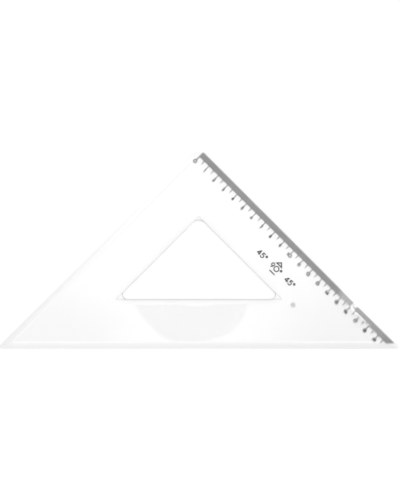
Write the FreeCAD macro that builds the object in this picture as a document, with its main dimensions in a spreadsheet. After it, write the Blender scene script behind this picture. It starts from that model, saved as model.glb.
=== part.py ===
import FreeCAD, Part
import Sketcher

import math
import os

# A clear 45 degree set square, lying flat with its printed side down.
#
# Frame, in millimetres: the underside is z = 0, X runs along the long edge, Y points from the
# long edge to the right angle, and the origin is the middle of the overall box in X and Y.
# The right leg carries the scale, which starts at the right angle. The graduation and the print
# are ink that fills shallow stamped grooves in the underside, flush with it, so that they are
# read through the plate and lie right on the paper.

DIMENSIONS = [
    # the plate
    ("leg_length", 216, "leg of the triangle, measured between sharp corners"),
    ("tip_cut", 2.5, "length taken off each 45 degree tip, along the long edge"),
    ("apex_cut", 4.4, "height taken off the right angle"),
    ("tip_round", 0.8, "radius of the upright edges at the two tips"),
    ("apex_round", 2, "radius of the upright edges at the right angle"),
    ("plate_thickness", 2, "thickness of the flat middle"),
    ("edge_thickness", 1, "height of the outer edges, below the bevel"),
    ("bevel_width", 5, "width of the bevel along all three edges"),
    ("crease_round", 9, "radius that blends the bevel into the flat top"),
    ("step_width", 2.1, "width of the ink step under the two plain edges"),
    ("scale_step_width", 1.15, "width of the ink step under the edge with the scale"),
    ("step_height", 0.3, "height of the ink step"),
    # the window
    ("window_margin", 37.6, "distance of each window side from the outer edge"),
    ("window_tip_round", 3.2, "radius of the window's two 45 degree corners"),
    ("window_apex_round", 6, "radius of the window's right angle"),
    ("window_ledge", 0.5, "depth from the top at which the corners stay sharp"),
    ("window_chamfer", 0.25, "chamfer around the window, top and bottom"),
    # the round mark that the mould leaves on the upper side
    ("mould_mark_x", 70.7, "place of the mould mark along the long edge"),
    ("mould_mark_below", 41.1, "place of the mould mark, towards the long edge"),
    ("mould_mark_diameter", 4, "diameter of the mould mark"),
    ("mould_mark_depth", 0.15, "depth of the mould mark"),
    ("mould_nub_diameter", 1.6, "diameter of the nub left in the middle of the mark"),
    # the scale along the right leg, with distances inward from the leg's outer edge
    ("ink_depth", 0.08, "depth of the stamped grooves, and of the ink in them"),
    ("scale_zero", 6.1, "distance of the zero mark from the sharp right angle"),
    ("scale_stop", 4.2, "height above the long edge where the scale is cut off"),
    ("mark_pitch", 1, "distance from one mark to the next"),
    ("mark_width", 0.48, "width of every mark"),
    ("mark_start", 1.25, "where the marks begin"),
    ("short_mark", 4.4, "length of a millimetre mark"),
    ("middle_mark", 7.05, "length of a half centimetre mark"),
    ("long_mark", 7.2, "length of a centimetre mark"),
    ("numeral_start", 8.7, "where the tops of the numerals are"),
    ("numeral_height", 2.8, "overall height of the scale's numerals"),
    ("numeral_stroke", 0.54, "stroke width of the scale's numerals"),
    # the generic print on the face
    ("legend_start", 22.1, "where the tops of the angle legend are"),
    ("legend_height", 4.4, "overall height of the angle legend"),
    ("legend_stroke", 0.62, "stroke width of the angle legend"),
    ("legend_middle", 100, "mark of the scale that the print is centred on, in mm"),
    ("legend_spread", 14.6, "distance between the middles of two legend groups"),
    ("sign_base", 6.6, "long side of the small triangle sign"),
    ("sign_stroke", 0.7, "stroke width of the triangle sign"),
    ("sign_start", 17.9, "where the top of the triangle sign is"),
    ("bar_length", 5.3, "length of the small bar under the legend"),
    ("bar_width", 0.7, "width of the small bar under the legend"),
    ("bar_start", 28.1, "where the small bar begins"),
]

CENTIMETRES = 20
MARKS_PER_HALF = 5
MILLIMETRE_GROUPS = 41  # of four marks each, the last group cut off by scale_stop
NEAR = 0.01  # places this close together count as one, in mm

# Heights and lengths that follow from the sheet, as formulas.
HALF_HEIGHT = "((dims.leg_length / sqrt(2) - dims.apex_cut) / 2)"
HALF_WIDTH = "(dims.leg_length / sqrt(2) - dims.tip_cut)"
SHARP_APEX = f"({HALF_HEIGHT} + dims.apex_cut)"
ORIGIN = (-1, 1)  # Sketcher's name for the sketch's origin
ON_Y_AXIS = -2  # and for its vertical axis

# Unit widths of the numerals' centrelines, for a centreline height of one.
DIGIT_WIDTH = {
    0: 1.0, 1: 0.22, 2: 0.60, 3: 0.56, 4: 0.68, 5: 0.60, 6: 0.60, 7: 0.60, 8: 0.56, 9: 0.60,
}
DEGREE_WIDTH = 0.32
CHARACTER_GAP = 0.14


# ---------------------------------------------------------------- document and sheet

def fill_sheet(doc):
    """The spreadsheet of driving dimensions: name, value and meaning of each."""
    sheet = doc.addObject("Spreadsheet::Sheet", "dims")
    for row, (alias, value, meaning) in enumerate(DIMENSIONS, start=1):
        sheet.set(f"A{row}", alias)
        sheet.set(f"B{row}", str(value))
        sheet.set(f"C{row}", meaning)
        sheet.setAlias(f"B{row}", alias)
    doc.recompute()
    return sheet


def bind(thing, **formulas):
    """Binds properties to formulas; a double underscore stands for a dot."""
    for name, formula in formulas.items():
        thing.setExpression(name.replace("__", "."), formula)


# ---------------------------------------------------------------- sketch helpers

def new_sketch(body, name, height="0"):
    """A sketch on the body's own XY plane, lifted to a height."""
    plane = next(f for f in body.Origin.OriginFeatures if f.Role == "XY_Plane")
    sketch = body.newObject("Sketcher::SketchObject", name)
    sketch.AttachmentSupport = (plane, [""])
    sketch.MapMode = "FlatFace"
    bind(sketch, AttachmentOffset__Base__z=height)
    return sketch


def turn_to_scale(sketch):
    """Puts a sketch in the scale's frame: X along the right leg from the sharp right angle,
    Y outward across it."""
    sketch.AttachmentOffset = FreeCAD.Placement(
        FreeCAD.Vector(0, 0, 0), FreeCAD.Rotation(FreeCAD.Vector(0, 0, 1), -45)
    )
    bind(sketch, AttachmentOffset__Base__y=SHARP_APEX)
    return sketch


def measure(sketch, direction, first, second, formula):
    """A signed distance from one point to another, along X or Y, bound to a formula."""
    constraint = Sketcher.Constraint("Distance" + direction, *first, *second, 1.0)
    index = sketch.addConstraint(constraint)
    sketch.setExpression(f"Constraints[{index}]", formula)


def add_outline(sketch, points):
    """A closed outline of straight lines; returns the index of its first line."""
    start = sketch.GeometryCount
    count = len(points)
    for i in range(count):
        ends = [FreeCAD.Vector(*points[j % count], 0) for j in (i, i + 1)]
        sketch.addGeometry(Part.LineSegment(*ends))
    for i in range(count):
        joint = ("Coincident", start + i, 2, start + (i + 1) % count, 1)
        sketch.addConstraint(Sketcher.Constraint(*joint))
    return start


def add_triangle(sketch, inset="0"):
    """The set square's triangle, moved in from the sharp outline by `inset` on every side."""
    base = add_outline(sketch, [(-1, -1), (1, -1), (0, 0)])
    half_base = f"dims.leg_length / sqrt(2) - ({inset}) * (1 + sqrt(2))"
    sketch.addConstraint(Sketcher.Constraint("Symmetric", base, 1, base, 2, ON_Y_AXIS))
    sketch.addConstraint(Sketcher.Constraint("PointOnObject", base + 1, 2, ON_Y_AXIS))
    measure(sketch, "X", ORIGIN, (base, 2), half_base)
    measure(sketch, "Y", (base, 1), ORIGIN, f"{HALF_HEIGHT} - ({inset})")
    measure(sketch, "Y", (base, 1), (base + 1, 2), half_base)


def add_rectangle(sketch, left, right, below, above):
    """An upright rectangle. `left` and `right` are the X of its sides, and `below` and
    `above` are how far its lower and upper sides lie below the sketch's X axis."""
    base = add_outline(sketch, [(0, -2), (1, -2), (1, -1), (0, -1)])
    for line, kind in enumerate(("Horizontal", "Vertical", "Horizontal", "Vertical")):
        sketch.addConstraint(Sketcher.Constraint(kind, base + line))
    measure(sketch, "X", ORIGIN, (base, 1), left)
    measure(sketch, "X", ORIGIN, (base + 1, 1), right)
    measure(sketch, "Y", (base, 1), ORIGIN, below)
    measure(sketch, "Y", (base + 2, 1), ORIGIN, above)


def pad(body, name, sketch, length):
    """Raises a sketch into the body."""
    feature = body.newObject("PartDesign::Pad", name)
    feature.Profile = sketch
    bind(feature, Length=length)
    return feature


def pocket(body, name, sketch, length=None, upward=False):
    """Cuts a sketch out of the body, through all of it where no length is given. Stops if the
    cut took nothing away."""
    body.Document.recompute()
    before = body.Shape.Volume
    feature = body.newObject("PartDesign::Pocket", name)
    feature.Profile = sketch
    feature.Reversed = upward
    if length is None:
        feature.Type = "ThroughAll"
    else:
        bind(feature, Length=length)
    body.Document.recompute()
    if not feature.Shape.Volume < before:
        raise RuntimeError(f"{name} cuts nothing")
    return feature


def edges_where(shape, wanted):
    """Names of the shape's edges for which `wanted` is true."""
    return [f"Edge{i}" for i, edge in enumerate(shape.Edges, start=1) if wanted(edge)]


def is_upright(edge):
    box = edge.BoundBox
    return box.ZLength > NEAR and box.XLength < NEAR and box.YLength < NEAR


def half_height(sheet):
    return (sheet.leg_length / math.sqrt(2) - sheet.apex_cut) / 2


# ---------------------------------------------------------------- the moulded plate

def round_upright_edges(body, name, feature, radius, near):
    """Fillets the upright edges of a feature whose middle satisfies `near`."""
    shape = feature.Shape
    names = edges_where(shape, lambda e: is_upright(e) and near(e.CenterOfMass))
    if not names:
        raise RuntimeError(f"{name} finds no edge")
    fillet = body.newObject("PartDesign::Fillet", name)
    fillet.Base = (feature, names)
    bind(fillet, Radius=radius)
    body.Document.recompute()
    return fillet


def cut_window(body, sheet):
    """The triangular finger window. Its corners are rounded, except for a thin layer at the
    top, where they stay sharp and leave three small ledges."""
    sharp = new_sketch(body, "window_outline")
    add_triangle(sharp, "dims.window_margin")
    through = pocket(body, "window", sharp, upward=True)

    reach = sheet.leg_length / 2 - sheet.window_margin
    inside = lambda p: abs(p.x) < reach and abs(p.y) < reach
    tips = round_upright_edges(
        body, "window_tips", through, "dims.window_tip_round",
        lambda p: inside(p) and p.y < -reach / 4 and abs(p.x) > reach / 4,
    )
    rounded = round_upright_edges(
        body, "window_apex", tips, "dims.window_apex_round",
        lambda p: inside(p) and abs(p.x) < NEAR,
    )
    ledge = new_sketch(body, "window_ledge_outline", "dims.plate_thickness")
    add_triangle(ledge, "dims.window_margin")
    corners = pocket(body, "window_ledge", ledge, "dims.window_ledge")

    below = sheet.window_margin / 2 - half_height(sheet)  # between the window and the long edge

    def on_rim(edge):
        """An edge of the window that lies in the plate's upper or lower face."""
        box, middle = edge.BoundBox, edge.CenterOfMass
        at_face = box.ZMax < NEAR or box.ZMin > sheet.plate_thickness - NEAR
        return at_face and inside(middle) and middle.y > below

    chamfer = body.newObject("PartDesign::Chamfer", "window_rims")
    chamfer.Base = (corners, edges_where(corners.Shape, on_rim))
    bind(chamfer, Size="dims.window_chamfer")
    body.Document.recompute()
    return chamfer


def stamp_mould_mark(body):
    """The round mark of the mould, with a small nub in its middle, on the upper side."""
    sketch = new_sketch(body, "mould_mark_outline", "dims.plate_thickness")
    for diameter in ("dims.mould_mark_diameter", "dims.mould_nub_diameter"):
        circle = sketch.addGeometry(Part.Circle(FreeCAD.Vector(1, -1, 0), FreeCAD.Vector(0, 0, 1), 1))
        index = sketch.addConstraint(Sketcher.Constraint("Diameter", circle, 2.0))
        sketch.setExpression(f"Constraints[{index}]", diameter)
        measure(sketch, "X", ORIGIN, (circle, 3), "dims.mould_mark_x")
        measure(sketch, "Y", (circle, 3), ORIGIN, "dims.mould_mark_below")
    return pocket(body, "mould_mark", sketch, "dims.mould_mark_depth")


def cut_ink_step(body):
    """The step under the edges that keeps ink from creeping in under the plate. It is narrower
    along the scale, which begins right beside it."""
    sketch = new_sketch(body, "ink_step_outline")
    add_triangle(sketch)
    inner = add_outline(sketch, [(-1, -1), (1, -1), (0, 0)])
    half_base = "(dims.leg_length / sqrt(2) - dims.step_width * (1 + sqrt(2)))"
    wider = "(dims.step_width - dims.scale_step_width)"
    below = f"{HALF_HEIGHT} - dims.step_width"
    for corner, x, y in (
        (0, f"-{half_base}", below),
        (1, f"{half_base} + {wider} * sqrt(2)", below),
        (2, f"{wider} / sqrt(2)", f"{below} - {half_base} - {wider} / sqrt(2)"),
    ):
        measure(sketch, "X", ORIGIN, (inner + corner, 1), x)
        measure(sketch, "Y", (inner + corner, 1), ORIGIN, y)
    pocket(body, "ink_step", sketch, "dims.step_height", upward=True)


def make_plate(doc, sheet):
    """The plate before its grooves are stamped: a slab with bevelled edges and blunt corners,
    its window and the mould's mark."""
    body = doc.addObject("PartDesign::Body", "moulded_plate")
    outline = new_sketch(body, "outline")
    add_triangle(outline)
    slab = pad(body, "slab", outline, "dims.plate_thickness")
    doc.recompute()

    def in_top(edge):
        return edge.BoundBox.ZMin > sheet.plate_thickness - NEAR

    bevel = body.newObject("PartDesign::Chamfer", "bevel")
    bevel.Base = (slab, edges_where(slab.Shape, in_top))
    bevel.ChamferType = "Two distances"
    bevel.FlipDirection = True
    bind(bevel, Size="dims.bevel_width", Size2="dims.plate_thickness - dims.edge_thickness")
    doc.recompute()
    low = [v for v in bevel.Shape.Vertexes if abs(v.Z - sheet.edge_thickness) < NEAR]
    if len(low) != 3:
        raise RuntimeError("the bevel does not meet the edges at their height")
    crease = body.newObject("PartDesign::Fillet", "crease")
    crease.Base = (bevel, edges_where(bevel.Shape, in_top))
    bind(crease, Radius="dims.crease_round")
    doc.recompute()

    cut_ink_step(body)

    blunt = new_sketch(body, "blunt_corners_outline")
    margin = "(dims.apex_cut + dims.tip_cut)"
    add_rectangle(blunt, f"-{HALF_WIDTH}", HALF_WIDTH, HALF_HEIGHT, f"-{HALF_HEIGHT}")
    add_rectangle(
        blunt,
        f"-{HALF_WIDTH} - {margin}",
        f"{HALF_WIDTH} + {margin}",
        f"{HALF_HEIGHT} + {margin}",
        f"-{HALF_HEIGHT} - {margin}",
    )
    blunted = pocket(body, "blunt_corners", blunt, upward=True)

    tip_x = sheet.leg_length / math.sqrt(2) - 2 * sheet.tip_cut
    tips = round_upright_edges(
        body, "round_tips", blunted, "dims.tip_round", lambda p: abs(p.x) > tip_x
    )
    top_y = half_height(sheet)
    round_upright_edges(
        body, "round_apex", tips, "dims.apex_round", lambda p: p.y > top_y - NEAR
    )
    cut_window(body, sheet)
    stamp_mould_mark(body)
    return body


# ---------------------------------------------------------------- the graduation

def add_mark(sketch, place, length):
    """One mark of the scale, at a place along it in marks from zero."""
    middle = f"dims.scale_zero + dims.mark_pitch * {place}"
    add_rectangle(
        sketch,
        f"{middle} - dims.mark_width / 2",
        f"{middle} + dims.mark_width / 2",
        f"dims.mark_start + {length}",
        "dims.mark_start",
    )


def make_marks(doc, name, places, length, step, count):
    """A row of marks: the ones at `places`, repeated every `step` marks."""
    body = doc.addObject("PartDesign::Body", name)
    sketch = turn_to_scale(new_sketch(body, name + "_outline"))
    for place in places:
        add_mark(sketch, place, length)
    first = pad(body, name + "_first", sketch, "dims.ink_depth")
    doc.recompute()
    row = body.newObject("PartDesign::LinearPattern", name + "_row")
    row.Originals = [first]
    row.Direction = (sketch, ["H_Axis"])
    row.Occurrences = count
    bind(row, Length=f"dims.mark_pitch * {step * (count - 1)}")
    body.Tip = row
    return body


def stop_scale(body):
    """Cuts the marks off in line with the long edge, where its bevel begins."""
    sketch = new_sketch(body, "scale_stop_outline")
    lowest = f"{HALF_HEIGHT} + dims.bevel_width"
    add_rectangle(sketch, "0", HALF_WIDTH, lowest, f"{HALF_HEIGHT} - dims.scale_stop")
    pocket(body, "scale_stop", sketch, upward=True)


# ---------------------------------------------------------------- numerals

def line(x0, y0, x1, y1):
    return Part.LineSegment(FreeCAD.Vector(x0, y0, 0), FreeCAD.Vector(x1, y1, 0))


def arc(x, y, radius, start, end):
    """An arc about (x, y), from one angle to another in degrees, anticlockwise."""
    circle = Part.Circle(FreeCAD.Vector(x, y, 0), FreeCAD.Vector(0, 0, 1), radius)
    return Part.ArcOfCircle(circle, math.radians(start), math.radians(end))


def on_circle(x, y, radius, angle):
    return x + radius * math.cos(math.radians(angle)), y + radius * math.sin(math.radians(angle))


# Centrelines at unit height, from the baseline to the top. Each numeral is made of open
# strokes (lists of joined lines and arcs), straight bars (two ends) and rings (centre and
# radius).

def centreline_1():
    return {"strokes": [[line(0, 0.76, 0.22, 1), line(0.22, 1, 0.22, 0)]]}


def centreline_2():
    x, y, radius = 0.30, 0.70, 0.30
    turn = on_circle(x, y, radius, -40)
    return {"strokes": [[arc(x, y, radius, -40, 165), line(*turn, 0, 0), line(0, 0, 0.60, 0)]]}


def centreline_3():
    upper, lower = 0.24, 0.26
    upper_bowl = arc(lower, 1 - upper, upper, -90, 150)
    lower_bowl = arc(lower, lower, lower, -150, 90)
    return {"strokes": [[upper_bowl, lower_bowl]]}


def centreline_4():
    stem, shoulder = 0.50, 0.27
    arm = [line(stem, 1, 0, shoulder), line(0, shoulder, 0.68, shoulder)]
    return {"strokes": [arm], "bars": [(stem, 0, stem, 1)]}


def centreline_5():
    x, y, radius = 0.27, 0.33, 0.33
    neck = on_circle(x, y, radius, 135)
    return {"strokes": [[line(0.54, 1, 0.10, 1), line(0.10, 1, *neck), arc(x, y, radius, -145, 135)]]}


def centreline_6():
    radius = 0.30
    start = on_circle(radius, radius, radius, 150)
    rise = 1 - start[1]
    return {"rings": [(radius, radius, radius)], "bars": [(*start, start[0] + rise / math.sqrt(3), 1)]}


def centreline_7():
    return {"strokes": [[line(0, 1, 0.60, 1), line(0.60, 1, 0.20, 0)]]}


def centreline_8():
    upper, lower = 0.23, 0.28
    overlap = 1 - 2 * upper - 2 * lower
    return {"rings": [(lower, lower + overlap / 2, lower), (lower, 1 - upper, upper)]}


def centreline_9():
    radius = 0.30
    start = on_circle(radius, 1 - radius, radius, -30)
    drop = start[1]
    return {"rings": [(radius, 1 - radius, radius)], "bars": [(start[0] - drop / math.sqrt(3), 0, *start)]}


def centreline_0():
    return {"rings": [(0.5, 0.5, 0.5)]}


def centreline_degree():
    radius = DEGREE_WIDTH / 2
    return {"rings": [(radius, 1 - radius, radius)]}


CENTRELINES = {
    "0": centreline_0, "1": centreline_1, "2": centreline_2, "3": centreline_3, "4": centreline_4,
    "5": centreline_5, "6": centreline_6, "7": centreline_7, "8": centreline_8, "9": centreline_9,
    "degree": centreline_degree,
}


def make_stroke(doc, name, geometry, unit, stroke):
    """An open stroke of even width with round ends, from its centreline at unit height."""
    sketch = doc.addObject("Sketcher::SketchObject", name + "_centreline")
    for piece in geometry:
        sketch.addGeometry(piece)
    scaled = doc.addObject("Part::Scale", name + "_scaled")
    scaled.Base = sketch
    scaled.Uniform = True
    bind(scaled, UniformScale=unit)
    outline = doc.addObject("Part::Offset2D", name + "_outline")
    outline.Source = scaled
    outline.Mode = "Pipe"
    outline.Join = "Arc"
    outline.Fill = True
    bind(outline, Value=f"{stroke} / 2")
    ink = doc.addObject("Part::Extrusion", name)
    ink.Base = outline
    ink.DirMode = "Custom"
    ink.Dir = FreeCAD.Vector(0, 0, 1)
    ink.Solid = True
    bind(ink, LengthFwd="dims.ink_depth")
    return ink


def make_bar(doc, name, ends, unit, stroke):
    """A straight stroke with square ends."""
    x0, y0, x1, y1 = ends
    angle = math.degrees(math.atan2(y1 - y0, x1 - x0))
    across = FreeCAD.Rotation(FreeCAD.Vector(0, 0, 1), angle).multVec(FreeCAD.Vector(0, 1, 0))
    bar = doc.addObject("Part::Box", name)
    bar.Placement.Rotation = FreeCAD.Rotation(FreeCAD.Vector(0, 0, 1), angle)
    bind(
        bar,
        Length=f"{math.hypot(x1 - x0, y1 - y0)} * {unit}",
        Width=stroke,
        Height="dims.ink_depth",
        Placement__Base__x=f"{x0} * {unit} - {across.x} * {stroke} / 2",
        Placement__Base__y=f"{y0} * {unit} - {across.y} * {stroke} / 2",
    )
    return bar


def make_ring(doc, name, circle, unit, stroke):
    """A round stroke."""
    x, y, radius = circle
    ring = doc.addObject("Part::Cut", name)
    ring.Base = doc.addObject("Part::Cylinder", name + "_outside")
    ring.Tool = doc.addObject("Part::Cylinder", name + "_inside")
    bind(ring.Base, Radius=f"{radius} * {unit} + {stroke} / 2", Height="dims.ink_depth")
    bind(ring.Tool, Radius=f"{radius} * {unit} - {stroke} / 2", Height="dims.ink_depth")
    bind(ring, Placement__Base__x=f"{x} * {unit}", Placement__Base__y=f"{y} * {unit}")
    return ring


def make_character(doc, style, character):
    """One character in a style of lettering, standing on its baseline at the origin. The
    style's height and stroke width are cells of the sheet."""
    name = f"{style}_{character}"
    stroke = f"dims.{style}_stroke"
    unit = f"(dims.{style}_height - {stroke})"
    centreline = CENTRELINES[character]()
    pieces = []
    for makes, kind in ((make_stroke, "strokes"), (make_bar, "bars"), (make_ring, "rings")):
        for i, drawn in enumerate(centreline.get(kind, []), start=1):
            pieces.append(makes(doc, f"{name}_{kind[:-1]}_{i}", drawn, unit, stroke))
    whole = doc.addObject("Part::MultiFuse" if len(pieces) > 1 else "Part::Compound", name)
    if len(pieces) > 1:
        whole.Shapes = pieces
        whole.Refine = True
    else:
        whole.Links = pieces
    return whole


def unit_width(character):
    return DEGREE_WIDTH if character == "degree" else DIGIT_WIDTH[int(character)]


def make_lettering(doc, name, style, letters, characters, middle, start):
    """A word of stamped characters along the scale, as one node: `middle` is the place of its
    middle along the leg, and `start` how far in from the leg's edge its top is."""
    stroke = f"dims.{style}_stroke"
    unit = f"(dims.{style}_height - {stroke})"
    widths = [unit_width(c) for c in characters]
    gaps = CHARACTER_GAP * (len(characters) - 1)
    total = f"({sum(widths) + gaps} * {unit} + {len(characters)} * {stroke})"
    placed = []
    for i, character in enumerate(characters):
        before = sum(widths[:i]) + CHARACTER_GAP * i
        link = doc.addObject("App::Link", f"{name}_character_{i + 1}")
        link.LinkedObject = letters[character]
        bind(
            link,
            Placement__Base__x=f"{middle} - {total} / 2 + {before} * {unit} + {i + 0.5} * {stroke}",
            Placement__Base__y=f"-({start}) - dims.{style}_height + {stroke} / 2",
        )
        placed.append(link)
    word = doc.addObject("Part::Compound", name)
    word.Links = placed
    word.Placement.Rotation = FreeCAD.Rotation(FreeCAD.Vector(0, 0, 1), -45)
    bind(word, Placement__Base__y=SHARP_APEX)
    return word


def make_numerals(doc):
    """The figures of the scale, one at each centimetre mark."""
    letters = {str(digit): make_character(doc, "numeral", str(digit)) for digit in range(10)}
    numerals = []
    for number in range(CENTIMETRES):
        middle = f"(dims.scale_zero + dims.mark_pitch * {10 * number})"
        name = f"numeral_{number:02d}"
        numerals.append(
            make_lettering(doc, name, "numeral", letters, str(number), middle, "dims.numeral_start")
        )
    return numerals


# ---------------------------------------------------------------- generic print on the face

def make_angle_legend(doc):
    """The three angles of the triangle, printed in a row beside the scale."""
    letters = {c: make_character(doc, "legend", c) for c in ("4", "5", "9", "0", "degree")}
    groups = [("angle_legend_left", "45", -1), ("angle_legend_middle", "90", 0),
              ("angle_legend_right", "45", 1)]
    legend = []
    for name, digits, side in groups:
        middle = f"(dims.scale_zero + dims.legend_middle + {side} * dims.legend_spread)"
        characters = [*digits, "degree"]
        legend.append(
            make_lettering(doc, name, "legend", letters, characters, middle, "dims.legend_start")
        )
    return legend


def make_triangle_sign(doc):
    """A small outlined triangle above the legend."""
    body = doc.addObject("PartDesign::Body", "triangle_sign")
    sketch = turn_to_scale(new_sketch(body, "triangle_sign_outline"))
    middle = "dims.scale_zero + dims.legend_middle"
    for inset in ("0", "dims.sign_stroke"):
        base = add_outline(sketch, [(-1, -2), (1, -2), (0, -1)])
        half_base = f"dims.sign_base / 2 - {inset} * (1 + sqrt(2))"
        sketch.addConstraint(Sketcher.Constraint("Horizontal", base))
        measure(sketch, "X", ORIGIN, (base + 1, 2), middle)
        measure(sketch, "X", (base, 1), (base + 1, 2), half_base)
        measure(sketch, "X", (base + 1, 2), (base, 2), half_base)
        measure(sketch, "Y", (base, 1), (base + 1, 2), half_base)
        measure(sketch, "Y", (base + 1, 2), ORIGIN, f"dims.sign_start + {inset} * sqrt(2)")
    pad(body, "triangle_sign_ink", sketch, "dims.ink_depth")
    return body


def make_legend_bar(doc):
    """A short bar under the middle of the legend."""
    body = doc.addObject("PartDesign::Body", "legend_bar")
    sketch = turn_to_scale(new_sketch(body, "legend_bar_outline"))
    middle = "dims.scale_zero + dims.legend_middle"
    add_rectangle(
        sketch,
        f"{middle} - dims.bar_length / 2",
        f"{middle} + dims.bar_length / 2",
        "dims.bar_start + dims.bar_width",
        "dims.bar_start",
    )
    pad(body, "legend_bar_ink", sketch, "dims.ink_depth")
    return body


# ---------------------------------------------------------------- the whole set square

def stamp_grooves(doc, plate, ink):
    """The finished plate: the moulded one with a groove for every stroke of ink."""
    strokes = doc.addObject("Part::Compound", "all_ink")
    strokes.Links = ink
    stamped = doc.addObject("Part::Cut", "clear_plate")
    stamped.Base = plate
    stamped.Tool = strokes
    return stamped


def check(doc, parts):
    """Stops if anything in the document failed, or a part isn't a valid solid."""
    for thing in doc.Objects:
        if {"Invalid", "Error"} & set(thing.State):
            raise RuntimeError(f"{thing.Name} failed: {thing.State}")
    for part in parts:
        shape = part.Shape
        if shape.isNull() or not shape.isValid() or not shape.Solids:
            raise RuntimeError(f"{part.Label} is not a valid solid")


def main():
    doc = FreeCAD.newDocument("set_square")
    sheet = fill_sheet(doc)
    plate = make_plate(doc, sheet)

    short = range(1, MARKS_PER_HALF)
    millimetres = make_marks(
        doc, "millimetre_marks", short, "dims.short_mark", MARKS_PER_HALF, MILLIMETRE_GROUPS
    )
    stop_scale(millimetres)
    halves = make_marks(
        doc, "half_centimetre_marks", [MARKS_PER_HALF], "dims.middle_mark",
        2 * MARKS_PER_HALF, CENTIMETRES,
    )
    centimetres = make_marks(
        doc, "centimetre_marks", [0], "dims.long_mark", 2 * MARKS_PER_HALF, CENTIMETRES + 1
    )
    stop_scale(centimetres)
    ink = [millimetres, halves, centimetres, *make_numerals(doc), *make_angle_legend(doc),
           make_triangle_sign(doc), make_legend_bar(doc)]
    doc.recompute()
    parts = [stamp_grooves(doc, plate, ink), *ink]
    doc.recompute()
    check(doc, parts)

    os.makedirs("parts", exist_ok=True)
    for part in parts:
        part.Label = part.Name
        part.Shape.exportStep(f"parts/{part.Label}.step")
        print(f"{part.Label}: {len(part.Shape.Solids)} solids, {part.Shape.Volume:.4f} mm3")


main()
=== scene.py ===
import math
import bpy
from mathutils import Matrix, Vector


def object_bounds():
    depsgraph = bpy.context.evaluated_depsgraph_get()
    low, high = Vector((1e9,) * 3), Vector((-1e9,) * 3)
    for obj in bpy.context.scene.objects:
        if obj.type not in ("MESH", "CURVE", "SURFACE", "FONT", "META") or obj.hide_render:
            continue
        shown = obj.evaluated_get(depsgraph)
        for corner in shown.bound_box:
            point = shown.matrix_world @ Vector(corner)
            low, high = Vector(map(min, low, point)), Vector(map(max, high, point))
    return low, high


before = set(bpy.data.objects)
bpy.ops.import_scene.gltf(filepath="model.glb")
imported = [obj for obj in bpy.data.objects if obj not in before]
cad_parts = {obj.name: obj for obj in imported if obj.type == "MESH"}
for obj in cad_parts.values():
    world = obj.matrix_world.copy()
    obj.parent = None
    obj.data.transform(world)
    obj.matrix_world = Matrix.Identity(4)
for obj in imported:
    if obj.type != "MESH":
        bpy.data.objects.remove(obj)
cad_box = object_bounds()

from types import SimpleNamespace

import bpy
from mathutils import Vector

# A clear 45 degree set square on a white table, seen from straight above. Blender's sizes are
# metres. Places on the plate are written in millimetres, in the plate's own X and Y.

MM = 0.001

HALF_HEIGHT = cad_box[1].y / MM
SHARP_TOP = HALF_HEIGHT + 4.4  # the y at which the two legs would meet in a sharp corner
MOULD_MARK = Vector((70.7, -41.1, 0))  # the round mark on the upper side
MOULD_MARK_RADIUS = 2

# Where the painted shade in the band between the scale's close ticks, a faint grey, fades in and out:
# four narrow stretches, the first two measured in from the scale's edge, the third from the plain
# leg, the last along Y.
GREY_STARTS, GREY_ENDS = (1.0, 1.3), (5.4, 5.8)
GREY_AT_ZERO = (5.4, 5.9)
GREY_AT_LAST = (-70.27, -69.97)


# ---------------------------------------------------------------- camera

CAMERA_HEIGHT = 2.0
CAMERA_ASIDE = Vector((0.75, 0.25, 0)) * MM  # the picture's middle is just off the plate's
PICTURE_WIDTH = 300.7 * MM  # the two tips touch the picture's sides
PICTURE_SHAPE = 500 / 400  # height over width


def add_camera():
    """Looks straight down with a long lens, so that there is next to no perspective."""
    lo, hi = cad_box
    data = bpy.data.cameras.new("camera")
    camera = bpy.data.objects.new("camera", data)
    bpy.context.scene.collection.objects.link(camera)
    camera.location = (lo + hi) / 2 + CAMERA_ASIDE + Vector((0, 0, CAMERA_HEIGHT))
    data.lens = data.sensor_width * CAMERA_HEIGHT / (PICTURE_WIDTH * PICTURE_SHAPE)
    data.clip_start, data.clip_end = 0.05, 50
    bpy.context.scene.camera = camera


# ---------------------------------------------------------------- node trees

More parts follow.
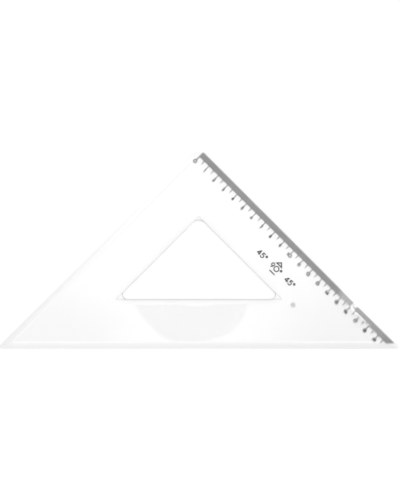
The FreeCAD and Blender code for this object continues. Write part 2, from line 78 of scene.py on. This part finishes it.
class Nodes:
    """A node tree, with short ways to add to it."""

    def __init__(self, owner, output="ShaderNodeOutputMaterial"):
        owner.use_nodes = True
        self.tree = owner.node_tree
        self.tree.nodes.clear()
        self.output = self.tree.nodes.new(output)

    def feed(self, socket, value):
        """Gives an input a value, or another node's output."""
        if isinstance(value, bpy.types.NodeSocket):
            self.tree.links.new(value, socket)
        else:
            socket.default_value = value

    def add(self, kind, inputs=None, **settings):
        node = self.tree.nodes.new("ShaderNode" + kind)
        for name, value in settings.items():
            setattr(node, name, value)
        for name, value in (inputs or {}).items():
            self.feed(node.inputs[name], value)
        return node

    def math(self, operation, *values):
        return self.add("Math", dict(enumerate(values)), operation=operation).outputs[0]

    def product(self, first, *others):
        for other in others:
            first = self.math("MULTIPLY", first, other)
        return first

    def vector(self, operation, *values):
        return self.add("VectorMath", dict(enumerate(values)), operation=operation)

    def length(self, vector):
        return self.vector("LENGTH", vector).outputs["Value"]

    def ramp(self, value, start, end, low=0.0, high=1.0):
        """low up to start, high from end, and a smooth change between."""
        inputs = {"Value": value, "From Min": start, "From Max": end, "To Min": low, "To Max": high}
        return self.add("MapRange", inputs, interpolation_type="SMOOTHSTEP").outputs[0]

    def noise(self, place, scale, detail=2.0):
        inputs = {"Vector": place, "Scale": scale, "Detail": detail}
        return self.add("TexNoise", inputs).outputs[0]

    def blend(self, share, first, second):
        values = {"Factor_Float": share, "A_Color": first, "B_Color": second}
        node = self.add("Mix", data_type="RGBA")
        for socket in node.inputs:
            if socket.identifier in values:
                self.feed(socket, values[socket.identifier])
        return next(s for s in node.outputs if s.identifier == "Result_Color")

    def finish(self, shader):
        self.tree.links.new(shader, self.output.inputs["Surface"])


def new_material(name):
    material = bpy.data.materials.new(name)
    return material, Nodes(material)


# ---------------------------------------------------------------- clear plastic

def plate_zones(n, place):
    """How much a place belongs to each zone of the plate, from 0 to 1, and how far in from the
    nearest outer edge it is."""
    split = n.add("SeparateXYZ", {"Vector": place})
    x, y = split.outputs["X"], split.outputs["Y"]
    from_legs = []
    for side in (1, -1):
        slant = n.math("SUBTRACT", SHARP_TOP * MM, n.math("MULTIPLY_ADD", x, side, y))
        from_legs.append(n.math("MULTIPLY", slant, math.sqrt(0.5)))
    from_scale, from_plain = from_legs
    inward = n.math(
        "MINIMUM",
        n.math("ADD", y, HALF_HEIGHT * MM),
        n.math("SUBTRACT", HALF_HEIGHT * MM, y),
    )
    for distance in from_legs:
        inward = n.math("MINIMUM", inward, distance)

    normal = n.add("SeparateXYZ", {"Vector": n.add("NewGeometry").outputs["True Normal"]})
    upright = n.math("ABSOLUTE", normal.outputs["Z"])
    flat_place = n.vector("MULTIPLY", place, (1, 1, 0)).outputs[0]
    from_mark = n.length(n.vector("SUBTRACT", flat_place, MOULD_MARK * MM).outputs[0])
    mark_rim = MOULD_MARK_RADIUS * MM

    def fade(distance, stretch, *levels):
        start, end = stretch
        return n.ramp(distance, start * MM, end * MM, *levels)

    return SimpleNamespace(
        wall=n.ramp(upright, 0.3, 0.9, 1.0, 0.0),
        bevel=n.ramp(upright, 0.982, 0.999, 1.0, 0.0),
        # chamfers: painted shade, darkened to draw the dark lines along their rims
        chamfer_rim_shade=n.product(n.ramp(upright, 0.5, 0.65), n.ramp(upright, 0.75, 0.9, 1.0, 0.0)),
        mould_mark=n.product(
            n.ramp(from_mark, 0.95 * mark_rim, 1.03 * mark_rim, 1.0, 0.0),
            n.ramp(normal.outputs["Z"], 0.5, 0.9),
        ),
        # the band between the scale's close ticks: painted shade, a faint grey there
        tick_band_shade=n.product(
            fade(y, GREY_AT_LAST),
            fade(from_plain, GREY_AT_ZERO),
            fade(from_scale, GREY_STARTS),
            fade(from_scale, GREY_ENDS, 1.0, 0.0),
        ),
        inward=inward,
    )


def scratches(n, place, turn, scale):
    """Fine hairlines in one direction: noise stretched along it, of which only the tops count."""
    turned = n.add(
        "VectorRotate",
        {"Vector": place, "Axis": (0, 0, 1), "Angle": math.radians(turn)},
        rotation_type="AXIS_ANGLE",
    )
    stretched = n.vector("MULTIPLY", turned.outputs[0], scale).outputs[0]
    return n.ramp(n.noise(stretched, 1.0, 0.0), 0.70, 0.76)


def handling_scratches(n, place):
    """Hairlines in three directions, of three densities."""
    hairlines = scratches(n, place, 38, (6, 900, 1))
    for turn, scale in ((-52, (9, 1300, 1)), (84, (5, 700, 1))):
        hairlines = n.math("MAXIMUM", hairlines, scratches(n, place, turn, scale))
    return hairlines


def plastic_colour(n, place, zones):
    """Almost clear, with chamfers darkened as painted shade for their dark rim lines, painted
    shade in the band between the scale's close ticks, and a frosted mould mark."""
    colour = n.blend(n.noise(place, 20, 2), (0.947, 0.951, 0.952, 1), (0.961, 0.964, 0.964, 1))
    # Painted shade: the chamfers are darkened to draw the dark lines along their rims.
    colour = n.blend(zones.chamfer_rim_shade, colour, (0.45, 0.46, 0.46, 1))
    # Painted shade: a faint grey in the band between the scale's close ticks.
    colour = n.blend(zones.tick_band_shade, colour, (0.92, 0.92, 0.92, 1))
    return n.blend(zones.mould_mark, colour, (0.6, 0.6, 0.6, 1))


def plastic_roughness(n, place, zones, hairlines):
    """Polished faces with smudges, and slightly matt walls."""
    smudges = n.ramp(n.noise(place, 45, 3), 0.5, 0.75)
    roughness = n.math("MULTIPLY_ADD", hairlines, 0.05, 0.006)
    for zone, rise in ((smudges, 0.02), (zones.wall, 0.12), (zones.mould_mark, 0.3)):
        roughness = n.math("MULTIPLY_ADD", zone, rise, roughness)
    return roughness


def plastic_relief(n, place, hairlines):
    """Faces that ripple a little, as moulded ones do, with the hairlines cut into them."""
    ripples = n.noise(place, 38, 1)
    wavy = n.add("Bump", {"Height": ripples, "Strength": 1.0, "Distance": 0.015 * MM})
    scratched = n.add(
        "Bump",
        {"Height": hairlines, "Strength": 0.3, "Distance": 0.002 * MM, "Normal": wavy.outputs[0]},
    )
    return scratched.outputs[0]


def light_passed(n, zones):
    """The share of a lamp's light that a face lets through, least of all through the walls."""
    wall_loss = n.ramp(zones.inward, 0.3 * MM, 1 * MM, 0.2, 0.5)
    passed = n.math("SUBTRACT", 0.965, n.product(zones.wall, wall_loss))
    # Of these, the band between the scale's close ticks is painted shade: it lets less light through
    # only to darken the table under it.
    for zone, loss in ((zones.bevel, 0.04), (zones.mould_mark, 0.12), (zones.tick_band_shade, 0.03)):
        passed = n.math("MULTIPLY_ADD", zone, -loss, passed)
    return passed


def clear_plastic():
    """Glass to the camera, and plain transparent to the rays that carry a lamp's light."""
    material, n = new_material("clear_plastic")
    place = n.add("TexCoord").outputs["Object"]
    zones = plate_zones(n, place)
    hairlines = handling_scratches(n, place)
    plastic = n.add(
        "BsdfPrincipled",
        {
            "Base Color": plastic_colour(n, place, zones),
            "Roughness": plastic_roughness(n, place, zones, hairlines),
            "IOR": 1.49,
            "Transmission Weight": 1.0,
            "Normal": plastic_relief(n, place, hairlines),
        },
    )
    clear = n.add("BsdfTransparent", {"Color": light_passed(n, zones)}).outputs[0]
    path = n.add("LightPath")
    shader = plastic.outputs[0]
    for ray in ("Is Shadow Ray", "Is Diffuse Ray"):
        shader = n.add("MixShader", {0: path.outputs[ray], 1: shader, 2: clear}).outputs[0]
    n.finish(shader)
    return material


# ---------------------------------------------------------------- ink

def stamped_ink(name, thin, grain):
    """Black hot-stamped foil: even and dense, with a fine grain and a few thinner patches."""
    material, n = new_material(name)
    place = n.add("TexCoord").outputs["Object"]
    patches = n.ramp(n.noise(place, 260, 3), 0.55, 0.8)
    specks = n.ramp(n.noise(place, grain, 1), 0.62, 0.75)
    worn = n.product(n.math("MAXIMUM", patches, specks), thin)
    bump = n.add("Bump", {"Height": specks, "Strength": 0.2, "Distance": 0.005 * MM})
    ink = n.add(
        "BsdfPrincipled",
        {
            "Base Color": n.blend(worn, (0.004, 0.004, 0.004, 1), (0.06, 0.06, 0.06, 1)),
            "Roughness": n.ramp(n.noise(place, 900, 2), 0.3, 0.7, 0.35, 0.6),
            "Specular IOR Level": 0.1,
            "Normal": bump.outputs[0],
        },
    )
    n.finish(ink.outputs[0])
    return material


def dress_cad_nodes():
    plastic = clear_plastic()
    scale_ink = stamped_ink("scale_ink", 0.5, 4200)
    legend_ink = stamped_ink("legend_ink", 0.3, 3600)
    for name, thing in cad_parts.items():
        if name == "clear_plate":
            material = plastic
        elif "mark" in name or name.startswith("numeral"):
            material = scale_ink
        else:
            material = legend_ink
        thing.data.materials.clear()
        thing.data.materials.append(material)


# ---------------------------------------------------------------- table and lamp

FLOOR_GAP = 0.5 * MM
FLOOR_RADIUS = 6.0
FLOOR_SIDES = 96
KEY_PLACE = Vector((0.3, 1.15, 2.7))
KEY_SIZE = 0.6
KEY_POWER = 34.5


def add_stage(name, corners, material):
    """A flat piece of the studio, which isn't part of the object."""
    mesh = bpy.data.meshes.new(name)
    mesh.from_pydata(corners, [], [range(len(corners))])
    mesh.materials.append(material)
    thing = bpy.data.objects.new(name, mesh)
    bpy.context.scene.collection.objects.link(thing)


def add_floor():
    material, n = new_material("white_table")
    shader = n.add(
        "BsdfPrincipled",
        {"Base Color": (0.9, 0.9, 0.9, 1), "Roughness": 0.9, "Specular IOR Level": 0.0},
    )
    n.finish(shader.outputs[0])
    height = cad_box[0].z - FLOOR_GAP
    turns = [2 * math.pi * i / FLOOR_SIDES for i in range(FLOOR_SIDES)]
    ring = [(FLOOR_RADIUS * math.cos(a), FLOOR_RADIUS * math.sin(a), height) for a in turns]
    add_stage("floor", ring, material)


def add_key_lamp():
    data = bpy.data.lights.new("key", "AREA")
    data.shape = "SQUARE"
    data.size = KEY_SIZE
    data.energy = KEY_POWER
    lamp = bpy.data.objects.new("key", data)
    bpy.context.scene.collection.objects.link(lamp)
    lamp.location = KEY_PLACE
    lamp.rotation_euler = (-KEY_PLACE).to_track_quat("-Z", "Y").to_euler()


def add_world():
    """An even white room that gets darker towards the horizon, where only glass sees it."""
    world = bpy.data.worlds.new("studio")
    bpy.context.scene.world = world
    n = Nodes(world, "ShaderNodeOutputWorld")
    up = n.add("SeparateXYZ", {"Vector": n.add("TexCoord").outputs["Generated"]}).outputs["Z"]
    level = n.ramp(up, 0.0, 0.9, 0.45, 1.0)
    level = n.math("MAXIMUM", level, n.add("LightPath").outputs["Is Camera Ray"])
    n.finish(n.add("Background", {"Color": (1, 1, 1, 1), "Strength": level}).outputs[0])


# ---------------------------------------------------------------- what the plate mirrors

PANEL_HEIGHT = 3.0  # of everything that the plate mirrors to the camera
PANEL_REACH = (190, 110)

# Dark places on the plate's flat top: the middle, half the width and half the height, the y
# above which it is light again, the share of the way out that is fully dark, and how dark.
DARK_PLACES = (
    (-5.3, -35, 44.5, 37, -41.2, 0.9, 0.87),
    (-115, -75, 85, 70, -5, 0.3, 0.66),
    (130, -75, 120, 80, 5, 0.24, 1.0),
)


def mirrored(x, y, lean=0.0, facing=0.0):
    """The place at the panel's height that this point of the plate mirrors to the camera, where
    its face leans by this many degrees towards the way it is facing."""
    lean, facing = math.radians(lean), math.radians(facing)
    across = math.sin(lean)
    normal = Vector((across * math.cos(facing), across * math.sin(facing), math.cos(lean)))
    point = Vector((x, y, 0)) * MM
    view = (CAMERA_ASIDE + Vector((0, 0, CAMERA_HEIGHT)) - point).normalized()
    ray = 2 * normal.dot(view) * normal - view
    return point + ray * (PANEL_HEIGHT / ray.z)


def glow(n, level):
    n.finish(n.add("Emission", {"Color": (1, 1, 1, 1), "Strength": level}).outputs[0])


def light_beside(n, place, x, y, wide, high, top, full, dark):
    """The share of the ceiling's light that a dark place leaves."""
    centre = mirrored(x, y)
    half = mirrored(x + wide, y + high) - centre
    moved = n.vector("SUBTRACT", place, centre).outputs[0]
    far = n.length(n.vector("MULTIPLY", moved, (1 / half.x, 1 / half.y, 0)).outputs[0])
    panel_y = n.add("SeparateXYZ", {"Vector": place}).outputs["Y"]
    above = n.ramp(panel_y, mirrored(x, top - 0.5).y, mirrored(x, top + 0.5).y)
    light = n.math("MAXIMUM", n.ramp(far, full, 1.0), above)
    return n.math("MULTIPLY_ADD", light, dark, 1 - dark)


def add_panel():
    """The bright ceiling that the flat top mirrors."""
    material, n = new_material("ceiling_panel")
    place = n.add("TexCoord").outputs["Object"]
    level = n.ramp(n.noise(place, 9, 4), 0.35, 0.65, 1.2, 1.4)
    for dark_place in DARK_PLACES:
        level = n.product(level, light_beside(n, place, *dark_place))
    glow(n, level)
    x, y = PANEL_REACH
    add_stage("ceiling_panel", [mirrored(*c) for c in ((-x, -y), (x, -y), (x, y), (-x, y))], material)


def on_scale(along, inward):
    """Where a place of the leg with the scale is, from its distance from the sharp right angle
    and its distance in from the edge."""
    return (along - inward) / math.sqrt(2), SHARP_TOP - (along + inward) / math.sqrt(2)


def on_plain(along, inward):
    """The same for the other leg."""
    x, y = on_scale(along, inward)
    return -x, y


def on_long_edge(x, inward):
    return x, inward - HALF_HEIGHT


# Each edge's places, how far in from the edge its cards are aimed, and the way its bevel faces.
# The crease is where the long edge's bevel meets the flat top.
SCALE_EDGE = (on_scale, 2, 45)
PLAIN_EDGE = (on_plain, 3, 135)
LONG_EDGE = (on_long_edge, 3, -90)
LONG_CREASE = (on_long_edge, 4.17, -90)


def band(start, end, steep, flat):
    """The outline of a card that a bevel shows from one place along its edge to another."""
    return (start, steep), (start, flat), (end, flat), (end, steep)


def add_card(name, edge, outline, first, last):
    """A card that a bevel mirrors. Each corner of its outline is a place along the edge, and
    the lean of the face that shows it: a negative one is the bevel's second reflection, off the
    underside. The glow goes from its first strength at the first corner to the last corner's."""
    place_on, inward, facing = edge
    corners = [mirrored(*place_on(along, inward), lean, facing) for along, lean in outline]
    material, n = new_material(name)
    way = corners[-1] - corners[0]
    moved = n.vector("SUBTRACT", n.add("TexCoord").outputs["Object"], corners[0]).outputs[0]
    share = n.vector("DOT_PRODUCT", moved, way / way.length_squared).outputs["Value"]
    glow(n, n.ramp(share, 0.0, 1.0, first, last))
    add_stage(name, corners, material)


def add_cards():
    add_card("crease_light", LONG_CREASE, band(160, -160, 8, 5.2), 0, 1.5)
    add_card("bevel_shade", LONG_EDGE, band(170, -170, 14, 9.5), 0, 0.5)
    add_card("bevel_shade_below", LONG_EDGE, band(160, -20, -7.5, -4), 0, 1)
    add_card("plain_shade", PLAIN_EDGE, band(215, 0, 14, 9.5), 0.5, 3.3)
    add_card("plain_shade_below", PLAIN_EDGE, band(215, 110, -7.5, -4), 0.3, 1)
    glare = (168, 12.6), (165.4, 12.6), (163.5, 2.5), (171.5, 2.5), (198, 5.5), (172.5, 8.5)
    add_card("scale_glare", SCALE_EDGE, glare, 15, 15)
    veil = (163.5, 2.5), (165.4, 12.6), (150, 12.6), (150, 2.5)
    add_card("scale_veil", SCALE_EDGE, veil, 5.5, 1)
    afterglow = (168.8, 12.6), (173.3, 8.5), (200, 8.5), (200, 12.6)
    add_card("scale_afterglow", SCALE_EDGE, afterglow, 3.6, 1.9)


def set_view_transform():
    view = bpy.context.scene.view_settings
    view.view_transform = "Standard"
    view.look = "None"


add_camera()
dress_cad_nodes()
add_floor()
add_key_lamp()
add_world()
add_panel()
add_cards()
set_view_transform()
